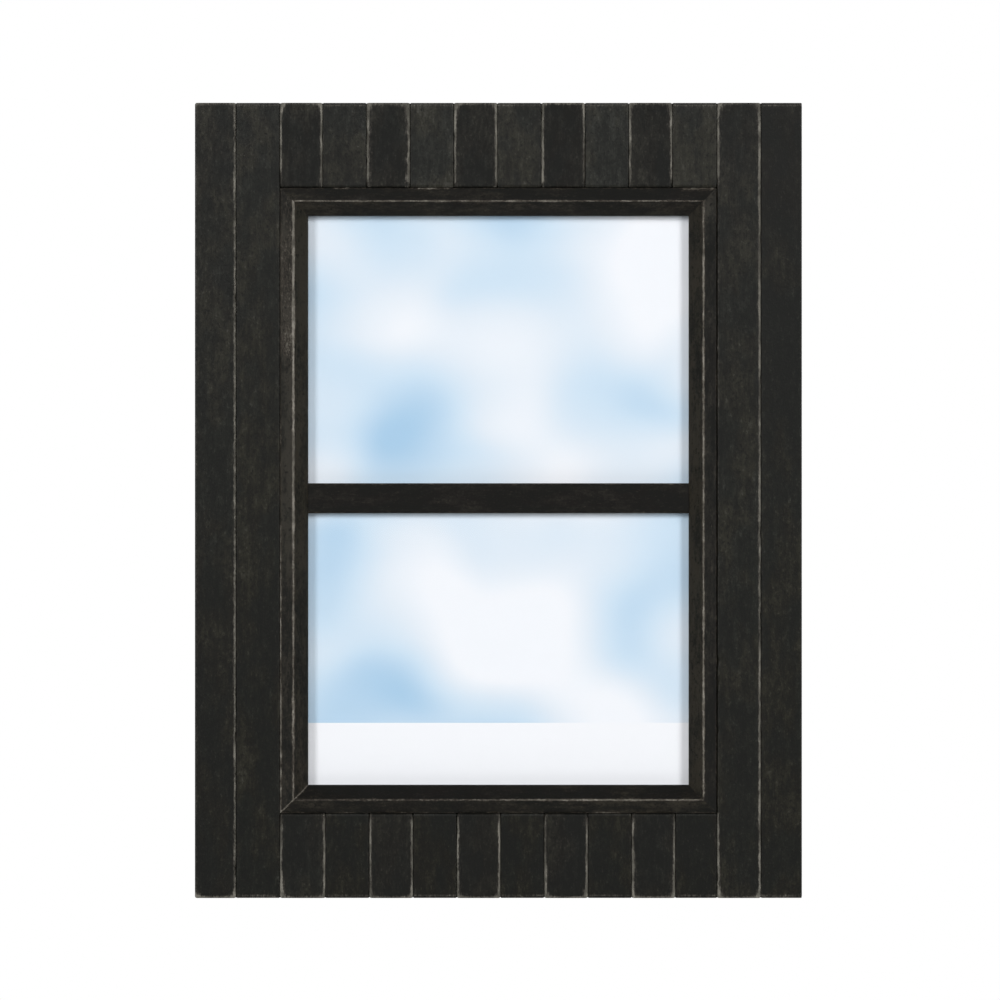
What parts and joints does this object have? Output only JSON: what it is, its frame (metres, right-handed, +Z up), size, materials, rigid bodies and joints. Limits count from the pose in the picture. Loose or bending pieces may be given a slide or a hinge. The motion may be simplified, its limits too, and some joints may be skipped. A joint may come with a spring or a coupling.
{
  "type": "collage photo frame",
  "caption": "Upright wall photo frame of painted, rubbed-back vertical planks round a mitred window sash with a cross bar, glazed for landscape photographs one above the other.",
  "frame": {"origin": "hanging point: the middle notch of the portrait sawtooth hanger, on the wall's plane", "axes": "+Z up along the planks, +Y out of the back into the wall, +X to the right seen from the front"},
  "size_m": [0.2728, 0.017, 0.3574],
  "materials": {
    "painted_plank_wood": "charcoal paint, rubbed back along the edges",
    "painted_sash_wood": "charcoal paint, rubbed back along the ridge",
    "painted_fibreboard": "matt black paint",
    "pane_glass": "clear float glass",
    "printed_paper": "coated paper insert",
    "hardboard": "smooth brown hardboard",
    "zinc_plated_steel": "bright zinc plate",
    "bumper_rubber": "matt black rubber"
  },
  "bodies": {
    "frame": {"backing_board_lower": "hardboard", "backing_board_upper": "hardboard", "carrier_rail_bottom": "painted_fibreboard", "carrier_rail_middle": "painted_fibreboard", "carrier_rail_top": "painted_fibreboard", "carrier_staples": "zinc_plated_steel", "carrier_stile_left": "painted_fibreboard", "carrier_stile_right": "painted_fibreboard", "glass_lower": "pane_glass", "glass_upper": "pane_glass", "hanger_landscape": "zinc_plated_steel", "hanger_nails": "zinc_plated_steel", "hanger_portrait": "zinc_plated_steel", "insert_lower": "printed_paper", "insert_upper": "printed_paper", "muntin": "painted_sash_wood", "muntin_pins": "zinc_plated_steel", "plank_bottom_1": "painted_plank_wood", "plank_bottom_10": "painted_plank_wood", "plank_bottom_2": "painted_plank_wood", "plank_bottom_3": "painted_plank_wood", "plank_bottom_4": "painted_plank_wood", "plank_bottom_5": "painted_plank_wood", "plank_bottom_6": "painted_plank_wood", "plank_bottom_7": "painted_plank_wood", "plank_bottom_8": "painted_plank_wood", "plank_bottom_9": "painted_plank_wood", "plank_left_inner": "painted_plank_wood", "plank_left_outer": "painted_plank_wood", "plank_right_inner": "painted_plank_wood", "plank_right_outer": "painted_plank_wood", "plank_top_1": "painted_plank_wood", "plank_top_10": "painted_plank_wood", "plank_top_2": "painted_plank_wood", "plank_top_3": "painted_plank_wood", "plank_top_4": "painted_plank_wood", "plank_top_5": "painted_plank_wood", "plank_top_6": "painted_plank_wood", "plank_top_7": "painted_plank_wood", "plank_top_8": "painted_plank_wood", "plank_top_9": "painted_plank_wood", "sash_bottom": "painted_sash_wood", "sash_left": "painted_sash_wood", "sash_right": "painted_sash_wood", "sash_top": "painted_sash_wood", "sash_v_nails": "zinc_plated_steel", "turn_button_screws": "zinc_plated_steel", "wall_bumpers": "bumper_rubber"},
    "button_1": {"turn_button_1": "zinc_plated_steel"},
    "button_2": {"turn_button_2": "zinc_plated_steel"},
    "button_3": {"turn_button_3": "zinc_plated_steel"},
    "button_4": {"turn_button_4": "zinc_plated_steel"},
    "button_5": {"turn_button_5": "zinc_plated_steel"},
    "button_6": {"turn_button_6": "zinc_plated_steel"},
    "button_7": {"turn_button_7": "zinc_plated_steel"},
    "button_8": {"turn_button_8": "zinc_plated_steel"}
  },
  "joints": [
    {"name": "button_1_swivel", "type": "hinge", "parent": "frame", "child": "button_1", "pos_m": [-0.0965, -0.003, -0.0589], "axis": [0, 1, 0], "continuous": true},
    {"name": "button_2_swivel", "type": "hinge", "parent": "frame", "child": "button_2", "pos_m": [-0.0965, -0.003, -0.1229], "axis": [0, 1, 0], "continuous": true},
    {"name": "button_3_swivel", "type": "hinge", "parent": "frame", "child": "button_3", "pos_m": [0.0965, -0.003, -0.0589], "axis": [0, 1, 0], "continuous": true},
    {"name": "button_4_swivel", "type": "hinge", "parent": "frame", "child": "button_4", "pos_m": [0.0965, -0.003, -0.1229], "axis": [0, 1, 0], "continuous": true},
    {"name": "button_5_swivel", "type": "hinge", "parent": "frame", "child": "button_5", "pos_m": [-0.0965, -0.003, -0.1945], "axis": [0, 1, 0], "continuous": true},
    {"name": "button_6_swivel", "type": "hinge", "parent": "frame", "child": "button_6", "pos_m": [-0.0965, -0.003, -0.2585], "axis": [0, 1, 0], "continuous": true},
    {"name": "button_7_swivel", "type": "hinge", "parent": "frame", "child": "button_7", "pos_m": [0.0965, -0.003, -0.1945], "axis": [0, 1, 0], "continuous": true},
    {"name": "button_8_swivel", "type": "hinge", "parent": "frame", "child": "button_8", "pos_m": [0.0965, -0.003, -0.2585], "axis": [0, 1, 0], "continuous": true}
  ]
}
